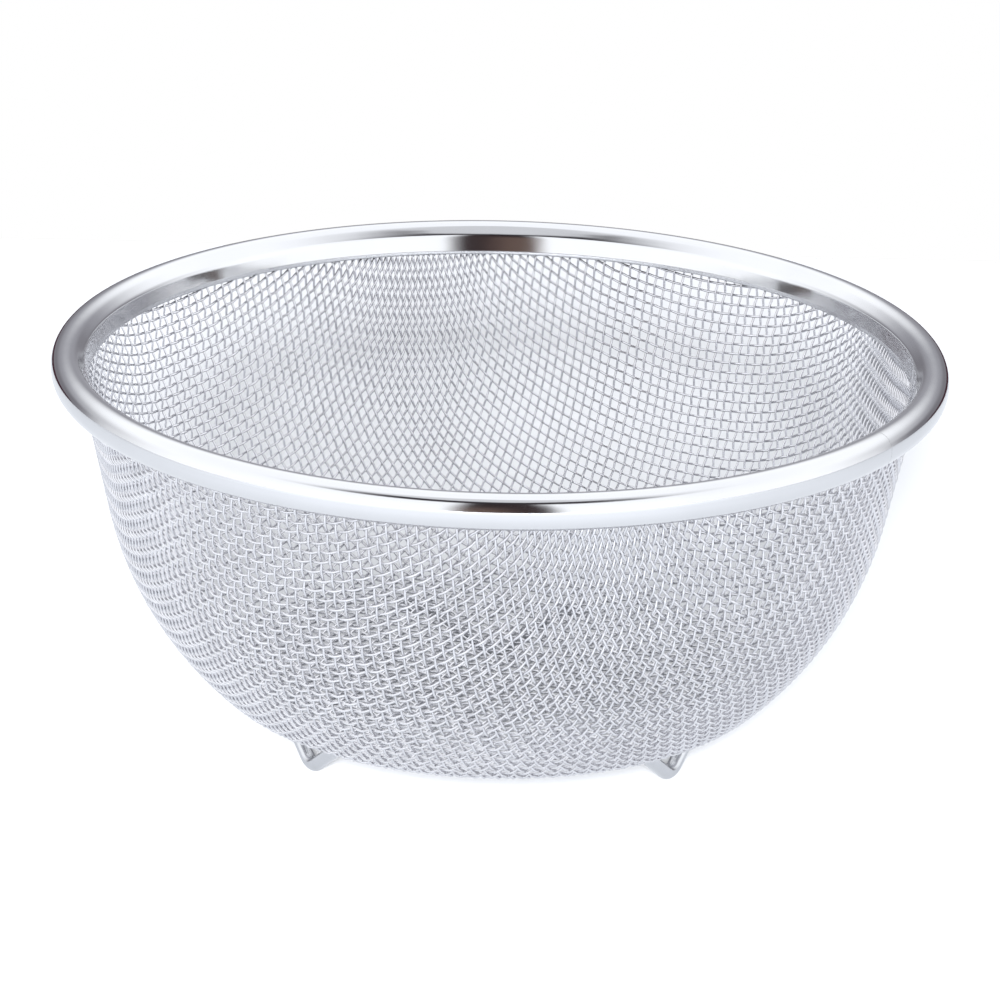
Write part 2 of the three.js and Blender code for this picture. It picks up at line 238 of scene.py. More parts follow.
class ClothSettings(bpy.types.PropertyGroup):
    """Shape of the bowl and make of the woven cloth."""

    pole_height: FloatProperty(
        name="Pole Height",
        description="Of the middle of the cloth above the table, on the bowl's axis",
        default=0.01246,
        unit="LENGTH",
    )
    edge_depth: FloatProperty(
        name="Edge Depth",
        description="From the bead's middle down to the cloth's cut edge inside it",
        default=0.0009,
        unit="LENGTH",
    )
    top_radius: FloatProperty(
        name="Top Radius",
        description="Of the middle of the cloth at its cut edge",
        default=0.0982,
        unit="LENGTH",
    )
    wall_lean: FloatProperty(
        name="Wall Lean",
        description="Of the straight upper wall from the vertical",
        default=math.radians(11.6),
        subtype="ANGLE",
    )
    wall_length: FloatProperty(
        name="Wall Length",
        description="Of the straight upper wall, along its slope",
        default=0.0327,
        unit="LENGTH",
    )
    curve_radius: FloatProperty(
        name="Curve Radius",
        description="Of the wall's curve below its straight part",
        default=0.0814,
        unit="LENGTH",
    )
    curve_end: FloatProperty(
        name="Curve End",
        description="Lean of the wall where it turns into the corner",
        default=math.radians(47.0),
        subtype="ANGLE",
    )
    corner_radius: FloatProperty(
        name="Corner Radius",
        description="Between the wall and the base",
        default=0.0095,
        unit="LENGTH",
    )
    base_slope: FloatProperty(
        name="Base Slope",
        description="Of the shallow base where the corner ends",
        default=math.radians(7.0),
        subtype="ANGLE",
    )
    pitch: FloatProperty(
        name="Wire Pitch",
        description="From one wire to the next before the cloth was pressed",
        default=0.00245,
        unit="LENGTH",
    )
    wire_diameter: FloatProperty(
        name="Wire Diameter",
        description="Of each wire of the cloth",
        default=0.0006,
        unit="LENGTH",
    )
    turn: FloatProperty(
        name="Cloth Turn",
        description="Direction of the first wire through the pole, from +X",
        default=math.radians(57.5),
        subtype="ANGLE",
    )
    steps: IntProperty(
        name="Steps",
        description="Rings of each wire between two crossings",
        default=3,
        min=2,
    )
    sides: IntProperty(
        name="Sides",
        description="Of each wire's section",
        default=6,
        min=4,
    )
    bundles: IntProperty(
        name="Bundles",
        description="Pieces that each direction's wires are shared out to",
        default=3,
        min=1,
    )
    unevenness: FloatProperty(
        name="Unevenness",
        description="How far the press has pushed wires off their even places",
        default=0.00018,
        unit="LENGTH",
    )
    colour: FloatVectorProperty(
        name="Colour",
        description="Of the bright drawn wire",
        default=(0.69, 0.69, 0.715),
        size=3,
        min=0.0,
        max=1.0,
        subtype="COLOR",
    )
    roughness: FloatProperty(
        name="Roughness",
        description="Of the bright drawn wire",
        default=0.09,
        min=0.0,
        max=1.0,
        subtype="FACTOR",
    )


class FootSettings(bpy.types.PropertyGroup):
    """Sizes and finish of the bent-rod feet."""

    count: IntProperty(
        name="Count",
        description="Feet under the base",
        default=3,
        min=3,
    )
    first_azimuth: FloatProperty(
        name="First Azimuth",
        description="Of the first foot, from +X towards the back",
        default=math.radians(-30.0),
        subtype="ANGLE",
    )
    placing_radius: FloatProperty(
        name="Placing Radius",
        description="From the bowl's axis to the rod of a foot",
        default=0.0489,
        unit="LENGTH",
    )
    rod_diameter: FloatProperty(
        name="Rod Diameter",
        description="Of the rod that a foot is bent from",
        default=0.0034,
        unit="LENGTH",
    )
    bend_radius: FloatProperty(
        name="Bend Radius",
        description="Of the middle of the rod in the foot's round bottom",
        default=0.0045,
        unit="LENGTH",
    )
    arm_lean: FloatProperty(
        name="Arm Lean",
        description="Of the foot's two arms from the vertical",
        default=math.radians(53.0),
        subtype="ANGLE",
    )
    turn_length: FloatProperty(
        name="Turn Length",
        description="Along arm and end, over which the one turns into the other",
        default=0.0022,
        unit="LENGTH",
    )
    end_length: FloatProperty(
        name="End Length",
        description="Of the straight end that lies under the base",
        default=0.006,
        unit="LENGTH",
    )
    flat_depth: FloatProperty(
        name="Flat Depth",
        description="Worn off the bend where it stands",
        default=0.00015,
        unit="LENGTH",
    )
    stand_off: FloatProperty(
        name="Stand-off",
        description="From the middle of the cloth to the middle of the rod's ends",
        default=0.0025,
        unit="LENGTH",
    )
    sides: IntProperty(
        name="Sides",
        description="Of the rod's section",
        default=24,
        min=8,
    )
    colour: FloatVectorProperty(
        name="Colour",
        description="Of the polished rod",
        default=(0.57, 0.58, 0.60),
        size=3,
        min=0.0,
        max=1.0,
        subtype="COLOR",
    )
    roughness: FloatProperty(
        name="Roughness",
        description="Of the polished rod",
        default=0.16,
        min=0.0,
        max=1.0,
        subtype="FACTOR",
    )


class StageSettings(bpy.types.PropertyGroup):
    """Camera, floor and light of the studio."""

    elevation: FloatProperty(
        name="Elevation",
        description="Of the camera above the horizon",
        default=math.radians(20.3),
        subtype="ANGLE",
    )
    roll: FloatProperty(
        name="Roll",
        description="Of the camera about its line of sight",
        default=math.radians(1.35),
        subtype="ANGLE",
    )
    distance: FloatProperty(
        name="Distance",
        description="From the camera to the point that it looks at",
        default=1.0,
        unit="LENGTH",
    )
    target: FloatVectorProperty(
        name="Target",
        description="The point that the camera looks at",
        default=(0.00069, 0.0, 0.05997),
        size=3,
        subtype="TRANSLATION",
    )
    lens: FloatProperty(
        name="Lens",
        description="Focal length of the camera, in millimetres",
        default=151.45,
    )
    floor_size: FloatProperty(
        name="Floor Size",
        description="To each side of the colander and in front of it",
        default=2.0,
        unit="LENGTH",
    )
    floor_depth: FloatProperty(
        name="Floor Depth",
        description="Behind the colander, to the table's far edge",
        default=0.4,
        unit="LENGTH",
    )
    floor_colour: FloatVectorProperty(
        name="Floor Colour",
        description="Of the floor, as the metal reflects it",
        default=(0.285, 0.295, 0.31),
        size=3,
        min=0.0,
        max=1.0,
        subtype="COLOR",
    )
    seen_floor_colour: FloatVectorProperty(
        name="Seen Floor Colour",
        description="Of the floor, as the camera sees it",
        default=(0.35, 0.36, 0.38),
        size=3,
        min=0.0,
        max=1.0,
        subtype="COLOR",
    )
    room_colour: FloatVectorProperty(
        name="Room Colour",
        description="Of the dark room that shows past the open side of the studio",
        default=(0.135, 0.092, 0.078),
        size=3,
        min=0.0,
        max=1.0,
        subtype="COLOR",
    )
    lamp_power: FloatProperty(
        name="Lamp Power",
        description="Of the soft lamp that lights the table from the front",
        default=800.0,
        unit="POWER",
    )


def mesh_object(name, vertices, face_arrays, smooth):
    """A linked mesh object from vertices and arrays of faces, each array smooth or not."""
    mesh = bpy.data.meshes.new(name)
    mesh.vertices.add(len(vertices))
    mesh.vertices.foreach_set("co", np.asarray(vertices, np.float32).ravel())
    corners = np.concatenate([faces.ravel() for faces in face_arrays])
    totals = np.concatenate([np.full(len(faces), faces.shape[1]) for faces in face_arrays])
    starts = np.concatenate([[0], np.cumsum(totals)[:-1]])
    mesh.loops.add(len(corners))
    mesh.loops.foreach_set("vertex_index", corners.astype(np.int32))
    mesh.polygons.add(len(totals))
    mesh.polygons.foreach_set("loop_start", starts.astype(np.int32))
    rounded = np.repeat(smooth, [len(faces) for faces in face_arrays])
    mesh.polygons.foreach_set("use_smooth", rounded)
    mesh.update(calc_edges=True)
    mesh.validate()
    made = bpy.data.objects.new(name, mesh)
    bpy.context.scene.collection.objects.link(made)
    return made


def dress(piece, material, replaced):
    """Gives a piece its material and its place in the frame."""
    piece.data.materials.append(material)
    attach(piece, BODY)
    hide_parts(replaced)


def unit(vectors):
    """The vectors, each brought to a length of 1."""
    return vectors / np.linalg.norm(vectors, axis=-1, keepdims=True)


def node(tree, kind, inputs=None, **settings):
    """A new shader node with its inputs set or linked."""
    made = tree.nodes.new(kind)
    for key, value in settings.items():
        setattr(made, key, value)
    for key, value in (inputs or {}).items():
        if isinstance(value, bpy.types.NodeSocket):
            tree.links.new(value, made.inputs[key])
        else:
            made.inputs[key].default_value = value
    return made


def maths(tree, operation, *values):
    """The result of a new maths node."""
    made = node(tree, "ShaderNodeMath", dict(enumerate(values)), operation=operation)
    return made.outputs["Value"]


def remap(tree, value, low, high, to_low=0.0, to_high=1.0):
    """A value eased from one range to another, and held at its ends."""
    made = node(
        tree,
        "ShaderNodeMapRange",
        {"Value": value, "From Min": low, "From Max": high, "To Min": to_low, "To Max": to_high},
        interpolation_type="SMOOTHSTEP",
    )
    return made.outputs["Result"]


def blend_colours(tree, share, first, second):
    """The first colour where the share is 0, and the second where it is 1."""
    values = dict(zip(MIX_INPUTS, (share, first, second)))
    return node(tree, "ShaderNodeMix", values, data_type="RGBA").outputs[MIX_OUTPUT]


def opaque(colour):
    """A colour with its fourth channel."""
    return (*colour, 1.0)


def camera_ray(tree):
    """1 for what the camera sees, and 0 for what shows in a reflection or lights a piece."""
    return node(tree, "ShaderNodeLightPath").outputs["Is Camera Ray"]


def steel(name, colour, roughness, grain_scale, grain_depth, mottle_scale, spread):
    """Bright stainless steel, with rolling or drawing marks and slightly uneven polish."""
    material = bpy.data.materials.new(name)
    material.use_nodes = True
    tree = material.node_tree
    shader = tree.nodes["Principled BSDF"]
    shader.inputs["Metallic"].default_value = 1.0
    place = node(tree, "ShaderNodeTexCoord").outputs["Object"]
    mottle = node(
        tree,
        "ShaderNodeTexNoise",
        {"Vector": place, "Scale": mottle_scale, "Detail": 3.0, "Roughness": 0.55},
    ).outputs["Fac"]
    darker = tuple(channel * (1.0 - spread) for channel in colour)
    shade = remap(tree, mottle, *SHADE_RANGE)
    tree.links.new(
        blend_colours(tree, shade, opaque(darker), opaque(colour)),
        shader.inputs["Base Color"],
    )
    polish = remap(tree, mottle, *POLISH_RANGE, *(roughness * share for share in POLISH_SHARES))
    tree.links.new(polish, shader.inputs["Roughness"])
    grain = node(
        tree,
        "ShaderNodeTexNoise",
        {"Vector": place, "Scale": grain_scale, "Detail": 2.0, "Roughness": 0.6},
    ).outputs["Fac"]
    bump = node(
        tree,
        "ShaderNodeBump",
        {"Strength": 1.0, "Distance": grain_depth, "Height": grain},
    )
    tree.links.new(bump.outputs["Normal"], shader.inputs["Normal"])
    return material


def bowl_stretches(cloth):
    """Start, lean, radius and length of each curved stretch of the profile, and its pole.

    Heights are from the cloth's cut edge, where the straight wall starts.
    """
    lean, end = cloth.wall_lean, cloth.curve_end
    last = math.pi / 2 - cloth.base_slope

    def arc_end(start, from_lean, to_lean, radius):
        across = radius * (math.cos(from_lean) - math.cos(to_lean))
        down = radius * (math.sin(to_lean) - math.sin(from_lean))
        return start[0] - across, start[1] - down

    wall = (
        cloth.top_radius - cloth.wall_length * math.sin(lean),
        -cloth.wall_length * math.cos(lean),
    )
    corner = arc_end(wall, lean, end, cloth.curve_radius)
    base = arc_end(corner, end, last, cloth.corner_radius)
    base_radius = base[0] / math.sin(cloth.base_slope)
    stretches = (
        (wall, lean, cloth.curve_radius, cloth.curve_radius * (end - lean)),
        (corner, end, cloth.corner_radius, cloth.corner_radius * (last - end)),
        (base, last, base_radius, base_radius * cloth.base_slope),
    )
    return stretches, arc_end(base, last, math.pi / 2, base_radius)


def edge_height(cloth):
    """Of the cloth's cut edge above the table."""
    return cloth.pole_height - bowl_stretches(cloth)[1][1]


def cloth_length(cloth):
    """From the pole to the cloth's cut edge, along the profile."""
    return cloth.wall_length + sum(stretch[3] for stretch in bowl_stretches(cloth)[0])


def bowl_profile(cloth, distance):
    """Radius, height and lean of the cloth's middle at a distance from the pole."""
    edge = edge_height(cloth)
    left = cloth_length(cloth) - np.asarray(distance, float)
    radius = cloth.top_radius - left * math.sin(cloth.wall_lean)
    height = edge - left * math.cos(cloth.wall_lean)
    leans = np.full_like(left, cloth.wall_lean)
    passed = cloth.wall_length
    for (top_radius, top_height), lean, bend, length in bowl_stretches(cloth)[0]:
        here = left > passed
        now = lean + (left - passed) / bend
        radius = np.where(here, top_radius - bend * (np.cos(lean) - np.cos(now)), radius)
        height = np.where(here, edge + top_height - bend * (np.sin(now) - np.sin(lean)), height)
        leans = np.where(here, now, leans)
        passed += length
    return radius, height, leans


def on_bowl(cloth, flat):
    """Places on the bowl, and ways into it, of flat places given from the pole."""
    distance = np.linalg.norm(flat, axis=-1)
    azimuth = np.arctan2(flat[..., 1], flat[..., 0])
    radius, height, lean = bowl_profile(cloth, distance)
    out = np.stack([np.cos(azimuth), np.sin(azimuth)], axis=-1)
    places = np.concatenate([out * radius[..., None], height[..., None]], axis=-1)
    inward = np.concatenate([-out * np.cos(lean)[..., None], np.sin(lean)[..., None]], axis=-1)
    return places, inward


def quarter_net(cloth, count):
    """Flat places of the crossings between two wires that leave the pole at a right angle.

    Wires keep their distance along each other, as in real cloth, so each crossing lies one
    pitch from its two neighbours, and the squares shear where the bowl curves.
    """
    flat = np.full((count + 1, count + 1, 2), np.nan)
    along = np.arange(count + 1) * cloth.pitch
    flat[:, 0] = np.stack([along, np.zeros(count + 1)], axis=-1)
    flat[0, :] = np.stack([np.zeros(count + 1), along], axis=-1)
    probe = cloth.pitch / 1000
    limit = cloth_length(cloth) + SPARE_WIRES * cloth.pitch
    for rank in range(2, 2 * count + 1):
        i = np.arange(max(1, rank - count), min(count, rank - 1) + 1)
        j = rank - i
        ends = [flat[i, j - 1], flat[i - 1, j]]
        guess = ends[0] + ends[1] - flat[i - 1, j - 1]
        known = ~np.isnan(guess).any(axis=-1)
        i, j, guess = i[known], j[known], guess[known]
        anchors = [on_bowl(cloth, end[known])[0] for end in ends]

        def misses(at):
            places = on_bowl(cloth, at)[0]
            gaps = [np.linalg.norm(places - anchor, axis=-1) - cloth.pitch for anchor in anchors]
            return np.stack(gaps, axis=-1)

        for _ in range(NET_ROUNDS):
            now = misses(guess)
            slopes = [
                (misses(guess + np.array(step) * probe) - now) / probe
                for step in ((1.0, 0.0), (0.0, 1.0))
            ]
            guess = guess - np.linalg.solve(np.stack(slopes, axis=-1), now[..., None])[..., 0]
        guess[np.linalg.norm(guess, axis=-1) > limit] = np.nan
        flat[i, j] = guess
    return flat


def whole_net(cloth):
    """Flat places of all crossings, by the numbers of their two wires, from -count to count."""
    count = int(cloth_length(cloth) / cloth.pitch) + SPARE_WIRES
    quarter = quarter_net(cloth, count)
    net = np.full((2 * count + 1, 2 * count + 1, 2), np.nan)
    i, j = np.meshgrid(np.arange(count + 1), np.arange(count + 1), indexing="ij")
    for turns, (cosine, sine) in enumerate(QUARTER_TURNS):
        angle = cloth.turn + turns * math.pi / 2
        turned = np.stack([
            quarter[..., 0] * math.cos(angle) - quarter[..., 1] * math.sin(angle),
            quarter[..., 0] * math.sin(angle) + quarter[..., 1] * math.cos(angle),
        ], axis=-1)
        net[cosine * i - sine * j + count, sine * i + cosine * j + count] = turned
    return net, count


def uneven_net(net, amount):
    """The net with smooth random shifts, so that its wires wander as pressed wires do."""
    shifts = np.zeros_like(net)
    random = np.random.default_rng(WAVE_SEED)
    for wave in WAVE_LENGTHS:
        for axis in range(2):
            for _ in range(WAVES_EACH):
                way = random.normal(size=2)
                way *= 2 * math.pi / (wave * np.linalg.norm(way))
                phase = random.uniform(0, 2 * math.pi)
                shifts[..., axis] += np.sin(net @ way + phase) / WAVES_EACH
    return net + amount * shifts


def smooth_run(values, steps):
    """Points of a Catmull-Rom curve through the values, with steps between each two."""
    padded = np.concatenate([2 * values[:1] - values[1:2], values, 2 * values[-1:] - values[-2:-1]])
    share = (np.arange(steps) / steps)[None, :, None]
    a, b, c, d = (padded[n : len(padded) - 3 + n, None] for n in range(4))
    curve = 0.5 * (
        2 * b
        + (c - a) * share
        + (2 * a - 5 * b + 4 * c - d) * share**2
        + (3 * b - a - 3 * c + d) * share**3
    )
    return np.concatenate([curve.reshape(-1, values.shape[-1]), values[-1:]])


def wire_runs(cloth, flat, firsts):
    """Centre lines, and ways into the bowl, of the stretches of one wire inside the edge."""
    known = ~np.isnan(flat).any(axis=-1)
    if known.sum() < FEWEST_CROSSINGS:
        return
    start = int(np.argmax(known))
    stop = len(known) - int(np.argmax(known[::-1]))
    if not known[start:stop].all():
        raise ValueError("a wire of the cloth has a gap")
    path = smooth_run(flat[start:stop], cloth.steps)
    places, inward = on_bowl(cloth, path)
    count = start + np.arange(len(path)) / cloth.steps
    rise = np.cos(math.pi * (count + firsts)) * cloth.wire_diameter / 2
    line = places + inward * rise[:, None]
    inside = np.linalg.norm(path, axis=-1) <= cloth_length(cloth)
    edges = np.flatnonzero(np.diff(np.concatenate([[0], inside.astype(int), [0]])))
    for low, high in zip(edges[::2], edges[1::2]):
        if high - low > cloth.steps:
            yield line[low:high], inward[low:high]


def circle(sides):
    """Cosines and sines of evenly spaced angles."""
    angles = np.arange(sides) * 2 * math.pi / sides
    return np.stack([np.cos(angles), np.sin(angles)], axis=-1)


def tube(line, upward, radius, sides):
    """Rings of vertices round a line."""
    ways = unit(np.gradient(line, axis=0))
    first = unit(upward - ways * (upward * ways).sum(axis=-1, keepdims=True))
    second = np.cross(ways, first)
    across = circle(sides)[None]
    round_it = first[:, None] * across[..., :1] + second[:, None] * across[..., 1:]
    return line[:, None] + radius * round_it


def ring_quads(count, size):
    """Faces between each ring of vertices and the next, for some rings of the same size."""
    ring = np.arange(count - 1)[:, None] * size
    side = np.arange(size)[None]
    after = (side + 1) % size
    corners = [ring + side, ring + after, ring + size + after, ring + size + side]
    return np.stack(corners, axis=-1).reshape(-1, 4)


def tubes_object(name, runs, radius, sides):
    """One object of many closed tubes, with a strip of its bake map for each."""
    vertices, quads, caps, spots, ends = [], [], [], [], []
    longest = max(len(line) for line, _ in runs)
    side = np.arange(sides)[None]
    offset = 0
    for row, (line, upward) in enumerate(runs):
        rings = tube(line, upward, radius, sides)
        vertices.append(rings.reshape(-1, 3))
        quads.append(offset + ring_quads(len(line), sides))
        caps.append(offset + side[:, ::-1])
        caps.append(offset + (len(line) - 1) * sides + side)
        offset += len(line) * sides
        along = np.arange(len(line) - 1)[:, None] / longest
        low = (row + STRIP_START + STRIP_WIDTH * side / sides) / len(runs)
        high = (row + STRIP_START + STRIP_WIDTH * (side + 1) / sides) / len(runs)
        along, low, high = np.broadcast_arrays(along, low, high)
        after = along + 1.0 / longest
        strip = [(along, low), (along, high), (after, high), (after, low)]
        spots.append(np.stack([np.stack(spot, axis=-1) for spot in strip], axis=-2).reshape(-1, 2))
        disc = circle(sides) * DISC_RADIUS / len(runs)
        height = (row + DISC_PLACE) / len(runs)
        ends.append(disc[::-1] + [[0.5 / longest, height]])
        ends.append(disc + [[1.5 / longest, height]])
    faces = [np.concatenate(quads), np.concatenate(caps)]
    made = mesh_object(name, np.concatenate(vertices), faces, (True, False))
    layer = made.data.uv_layers.new(name="OFBake")
    layer.data.foreach_set("uv", np.concatenate(spots + ends).astype(np.float32).ravel())
    return made


class COLANDER_OT_cloth(bpy.types.Operator):
    """Weave the mesh bowl, wire by wire"""

    bl_idname = "colander.cloth"
    bl_label = "Weave Mesh Bowl"

    def execute(self, context):
        cloth = context.scene.colander_cloth
        net, count = whole_net(cloth)
        net = uneven_net(net, cloth.unevenness)
        material = steel(
            "drawn_wire",
            cloth.colour,
            cloth.roughness,
            grain_scale=5200.0,
            grain_depth=0.000006,
            mottle_scale=160.0,
            spread=0.10,
        )
        for direction, first, table in (("warp", 0, net), ("weft", 1, net.transpose(1, 0, 2))):
            wires = [
                list(wire_runs(cloth, table[:, number], number + first))
                for number in range(2 * count + 1)
            ]
            sizes = np.cumsum([sum(len(line) for line, _ in runs) for runs in wires])
            shares = sizes * cloth.bundles // (sizes[-1] + 1)
            for bundle in range(cloth.bundles):
                runs = [
                    run
                    for wire, share in zip(wires, shares)
                    if share == bundle
                    for run in wire
                ]
                piece = tubes_object(
                    f"{direction}_wires_{bundle + 1}", runs, cloth.wire_diameter / 2, cloth.sides
                )
                dress(piece, material, "mesh_bowl")
        return {"FINISHED"}


def part_way(start, end, shares):
    """Points on the straight line between two, at shares of its length."""
    return [start + (end - start) * share for share in shares]


def rounded(before, corner, after, count):
    """Points of the round that takes the place of a corner between two points."""
    return [
        (1 - t) ** 2 * before + 2 * t * (1 - t) * corner + t * t * after
        for t in np.linspace(0, 1, count)
    ]


def arc(centre, radius, angles):
    """Points round a centre."""
    return [centre + radius * np.array((math.cos(angle), math.sin(angle))) for angle in angles]


def rim_line(rim, cloth):
    """The strip's centre line: up the flange, out to the bead, round it and in to the lip."""
    bead_centre = edge_height(cloth) + cloth.edge_depth
    half = rim.strip_thickness / 2
    bend = rim.bead_width / 2 - half
    middle = rim.outer_radius - rim.bead_width / 2
    rise = (rim.bead_height - rim.bead_width) / 2
    cosine = math.cos(cloth.wall_lean)

    def cloth_radius(height):
        return cloth.top_radius + (height - edge_height(cloth)) * math.tan(cloth.wall_lean)

    def flange(height):
        return np.array((cloth_radius(height) - (rim.cloth_gap + half) / cosine, height))

    lip_centre = bead_centre - rise
    lip_angle = math.pi / 2
    for _ in range(LIP_ROUNDS):
        height = lip_centre - (bend + half) * math.sin(lip_angle)
        reach = middle - cloth_radius(height) - rim.cloth_gap / cosine
        lip_angle = math.pi - math.acos(min(1.0, reach / (bend + half)))
    low_edge = flange(bead_centre - rim.flange_depth)
    crease = flange(bead_centre + rim.flange_top)
    top_centre = np.array((middle, bead_centre + rise))
    across = top_centre - crease
    touch = math.pi / 2 + math.atan2(across[1], across[0])
    touch += math.asin(bend / np.linalg.norm(across))
    top = arc(top_centre, bend, np.linspace(touch, 0, TOP_POINTS))
    before = crease + (low_edge - crease) * CREASE_SHARES[0]
    after = crease + (top[0] - crease) * CREASE_SHARES[1]
    # Without a straight side between them, the lip's bend starts where the top's ends
    lip_angles = np.linspace(0, -lip_angle, LIP_POINTS)[0 if rise else 1:]
    return np.array([
        low_edge,
        *part_way(low_edge, crease, FLANGE_SHARES),
        *rounded(before, crease, after, CREASE_POINTS),
        *part_way(after, top[0], SLOPE_SHARES),
        *top,
        *arc(np.array((middle, lip_centre)), bend, lip_angles),
    ])


def strip_outline(line, half):
    """The closed outline of a strip of sheet along a line, with rounded edges."""
    ways = unit(np.gradient(line, axis=0))
    across = np.stack([-ways[:, 1], ways[:, 0]], axis=-1) * half
    angles = np.linspace(0, math.pi, EDGE_POINTS)[1:-1, None]
    rounds = [
        end + side * np.cos(angles) + way * half * np.sin(angles)
        for end, side, way in (
            (line[-1], across[-1], ways[-1]),
            (line[0], -across[0], -ways[0]),
        )
    ]
    return np.concatenate([line + across, rounds[0], (line - across)[::-1], rounds[1]])


class COLANDER_OT_rim(bpy.types.Operator):
    """Roll the rim from its strip and close it with its seam"""

    bl_idname = "colander.rim"
    bl_label = "Roll Rim"

    def execute(self, context):
        rim = context.scene.colander_rim
        line = rim_line(rim, context.scene.colander_cloth)
        outline = strip_outline(line, rim.strip_thickness / 2)
        # A narrow first and last segment keep the turn of the shading close to the seam
        narrow = SEAM_SEGMENT / rim.outer_radius
        half_gap = rim.seam_gap / 2 / rim.outer_radius
        inner = np.linspace(half_gap + narrow, 2 * math.pi - half_gap - narrow, RIM_SEGMENTS - 1)
        azimuths = rim.seam_azimuth + np.array([half_gap, *inner, 2 * math.pi - half_gap])
        ways = np.stack([np.cos(azimuths), np.sin(azimuths)], axis=-1)
        size = len(outline)
        places = np.concatenate([
            ways[:, None] * outline[None, :, :1],
            np.broadcast_to(outline[None, :, 1:], (RIM_SEGMENTS + 1, size, 1)),
        ], axis=-1)
        # The outline runs the other way round than a tube's rings do
        quads = ring_quads(RIM_SEGMENTS + 1, size)[:, [0, 3, 2, 1]]
        ends = np.stack([np.arange(size), RIM_SEGMENTS * size + np.arange(size)[::-1]])
        piece = mesh_object("rim_strip", places.reshape(-1, 3), [quads, ends], (True, False))
        material = steel(
            "polished_strip",
            rim.colour,
            rim.roughness,
            grain_scale=90.0,
            grain_depth=0.00003,
            mottle_scale=35.0,
            spread=0.04,
        )
        dress(piece, material, "rim")
        return {"FINISHED"}


def foot_line(foot, cloth):
    """A foot's centre line, sideways from its middle and up, from one end to the other."""
    radii, heights, leans = bowl_profile(cloth, np.linspace(0, PROFILE_LENGTH, PROFILE_POINTS))
    lean = foot.arm_lean
    bend_centre = np.array((0.0, foot.rod_diameter / 2 + foot.bend_radius - foot.flat_depth))

    def under(sideways):
        radius = math.hypot(foot.placing_radius, sideways)
        drop = foot.stand_off / math.sin(np.interp(radius, radii, leans))
        return np.array((sideways, np.interp(radius, radii, heights) - drop))

    def arm(start, side):
        """From after the bend up one arm and round the turn to the end under the base."""
        corner = start
        for _ in range(CORNER_ROUNDS):
            corner = under(start[0] + side * (corner[1] - start[1]) * math.tan(lean))
        arm_way = np.array((side * math.sin(lean), math.cos(lean)))
        low, high = corner - arm_way * foot.turn_length, under(corner[0] + side * foot.turn_length)
        return [
            *part_way(start, low, ARM_SHARES),
            *rounded(low, corner, high, TURN_POINTS),
            *(
                under(corner[0] + side * (foot.turn_length + share * foot.end_length))
                for share in END_SHARES
            ),
        ]

    angles = np.linspace(math.pi + lean, 2 * math.pi - lean, BEND_POINTS)
    bend = arc(bend_centre, foot.bend_radius, angles)
    return np.array([*arm(bend[0], -1)[::-1], *bend, *arm(bend[-1], 1)])


class COLANDER_OT_feet(bpy.types.Operator):
    """Bend the feet and set them under the base"""

    bl_idname = "colander.feet"
    bl_label = "Bend Feet"

    def execute(self, context):
        foot = context.scene.colander_foot
        flat_line = foot_line(foot, context.scene.colander_cloth)
        placing = np.full(len(flat_line), foot.placing_radius)
        line = np.stack([placing, flat_line[:, 0], flat_line[:, 1]], axis=-1)
        outward = np.broadcast_to(np.array((1.0, 0.0, 0.0)), line.shape)
        radius = foot.rod_diameter / 2
        rings = tube(line, outward, radius, foot.sides)
        # Rounded ends, from two smaller rings past each end
        ways = unit(np.gradient(line, axis=0))
        caps = [
            [
                line[end] + (rings[end] - line[end]) * size + way * radius * distance
                for size, distance in END_RINGS
            ]
            for end, way in ((0, -ways[0]), (-1, ways[-1]))
        ]
        rings = np.concatenate([caps[0][::-1], rings, caps[1]])
        rings[..., 2] = np.maximum(rings[..., 2], 0.0)
        side = np.arange(foot.sides)
        quads = ring_quads(len(rings), foot.sides)
        ends = np.stack([side[::-1], (len(rings) - 1) * foot.sides + side])
        material = steel(
            "polished_rod",
            foot.colour,
            foot.roughness,
            grain_scale=900.0,
            grain_depth=0.00001,
            mottle_scale=220.0,
            spread=0.06,
        )
        for n in range(foot.count):
            azimuth = foot.first_azimuth + n * 2 * math.pi / foot.count
            turned = rings.reshape(-1, 3) @ np.array(Matrix.Rotation(azimuth, 3, "Z")).T
            piece = mesh_object(f"foot_rod_{n + 1}", turned, [quads, ends], (True, False))
            dress(piece, material, f"foot_{n + 1}")
        return {"FINISHED"}


